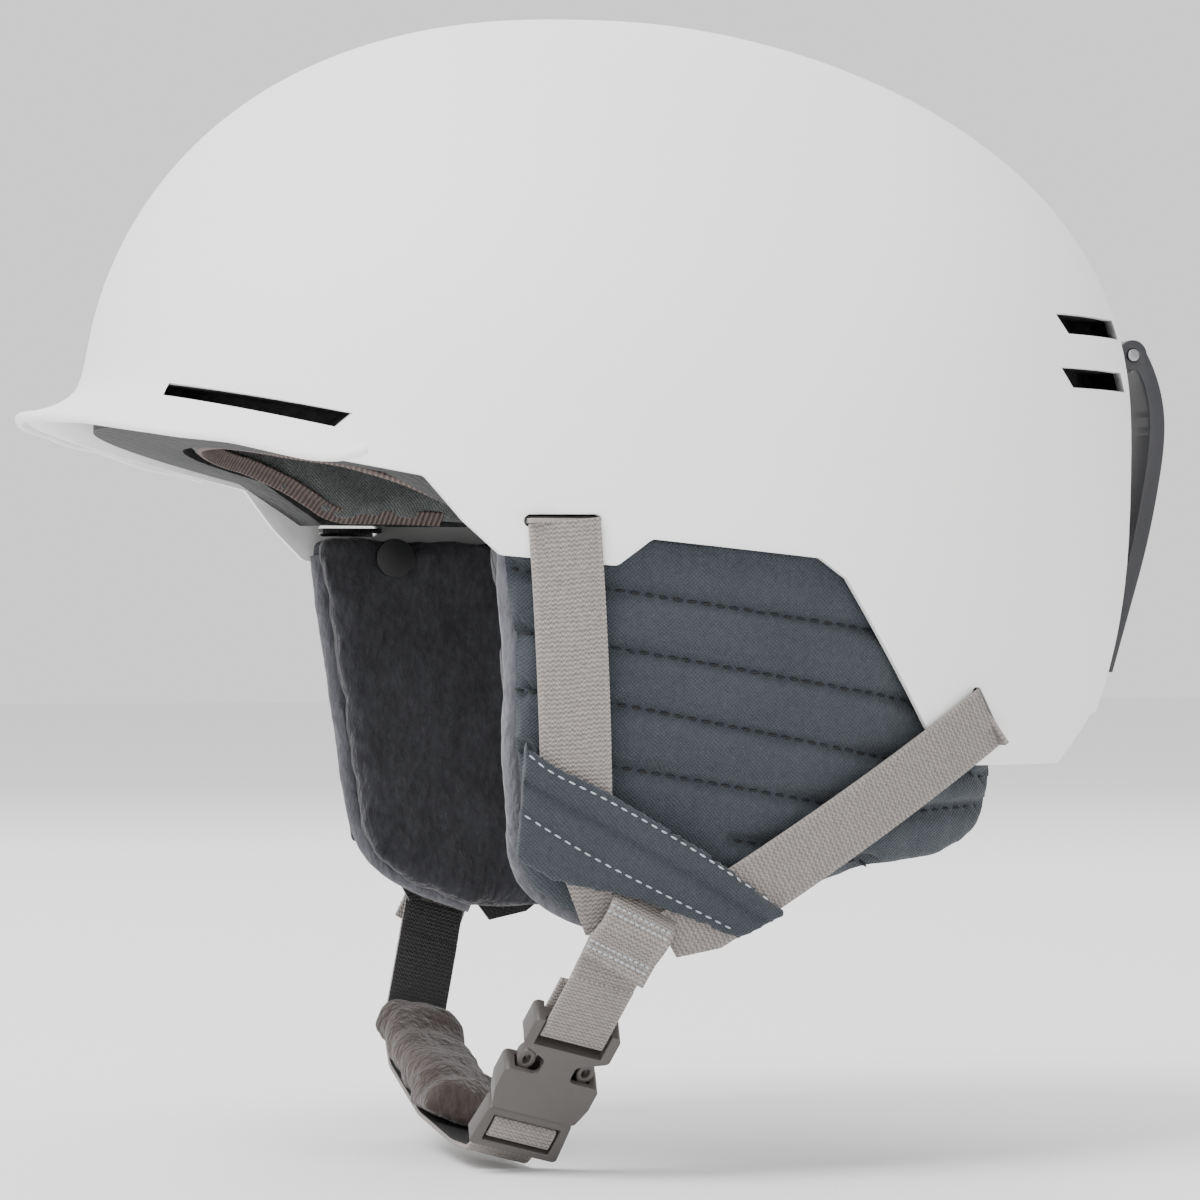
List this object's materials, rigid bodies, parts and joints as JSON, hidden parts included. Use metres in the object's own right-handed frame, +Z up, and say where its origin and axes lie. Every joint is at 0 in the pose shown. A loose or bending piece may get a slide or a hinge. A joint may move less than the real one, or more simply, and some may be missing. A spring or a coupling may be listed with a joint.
{
  "type": "ski helmet",
  "caption": "Hard-shell ski helmet with a short brim, quilted ear pads, webbing straps, a side-release buckle, a padded chin strap and a hinged goggle retainer.",
  "frame": {"origin": "centre of the head opening, level with the wearer's ears", "axes": "+Z up to the crown, -Y towards the brim, +X to the wearer's left"},
  "size_m": [0.214, 0.2939, 0.2815],
  "materials": {
    "shell_white": "matte",
    "liner_foam": "matte",
    "comfort_fabric": "woven",
    "ear_canvas": "woven canvas",
    "ear_fleece": "fleece",
    "webbing": "woven webbing",
    "chin_fleece": "fleece",
    "buckle_plastic": "satin",
    "dark_plastic": "satin",
    "steel": "brushed"
  },
  "bodies": {
    "helmet": {"outer_shell": "shell_white", "impact_liner": "liner_foam", "brow_pad": "comfort_fabric", "side_pad_left": "comfort_fabric", "side_pad_right": "comfort_fabric", "crown_pad": "comfort_fabric", "ear_canvas_left": "ear_canvas", "ear_canvas_right": "ear_canvas", "ear_fleece_left": "ear_fleece", "ear_fleece_right": "ear_fleece", "ear_sleeve_left": "ear_canvas", "ear_sleeve_right": "ear_canvas", "front_strap_left": "webbing", "front_strap_right": "webbing", "rear_strap_left": "webbing", "rear_strap_right": "webbing", "yoke_block_left": "webbing", "yoke_block_right": "webbing", "strap_anchors": "dark_plastic", "ear_snaps": "dark_plastic", "cradle_guides": "dark_plastic", "goggle_bracket": "dark_plastic", "retainer_catch": "dark_plastic", "hinge_pin": "steel"},
    "chin_loop": {"short_strap": "webbing", "chin_webbing": "webbing", "chin_pad": "chin_fleece", "buckle_receptacle": "buckle_plastic", "buckle_insert": "buckle_plastic"},
    "arm_rear": {"buckle_arm_rear": "buckle_plastic"},
    "arm_front": {"buckle_arm_front": "buckle_plastic"},
    "retainer": {"goggle_retainer": "dark_plastic"},
    "cradle": {"fit_cradle": "dark_plastic", "nape_pad": "comfort_fabric"}
  },
  "joints": [
    {"name": "chin_loop_swing", "type": "hinge", "parent": "helmet", "child": "chin_loop", "pos_m": [0, -0.022, -0.0965], "axis": [1, 0, 0], "range_deg": [-25, 25]},
    {"name": "buckle_arm_rear_squeeze", "type": "hinge", "parent": "chin_loop", "child": "arm_rear", "pos_m": [0.04736, -0.0241, -0.13291], "axis": [0.766, -0.1664, -0.6209], "range_deg": [0, 4]},
    {"name": "buckle_arm_front_squeeze", "type": "hinge", "parent": "chin_loop", "child": "arm_front", "pos_m": [0.04736, -0.03839, -0.12908], "axis": [-0.766, 0.1664, 0.6209], "range_deg": [0, 4]},
    {"name": "goggle_retainer_swing", "type": "hinge", "parent": "helmet", "child": "retainer", "pos_m": [0, 0.139, 0.0525], "axis": [1, 0, 0], "range_deg": [0, 95]},
    {"name": "fit_cradle_slide", "type": "slide", "parent": "helmet", "child": "cradle", "axis": [0, 1, 0], "range_m": [0, 0.007]}
  ]
}
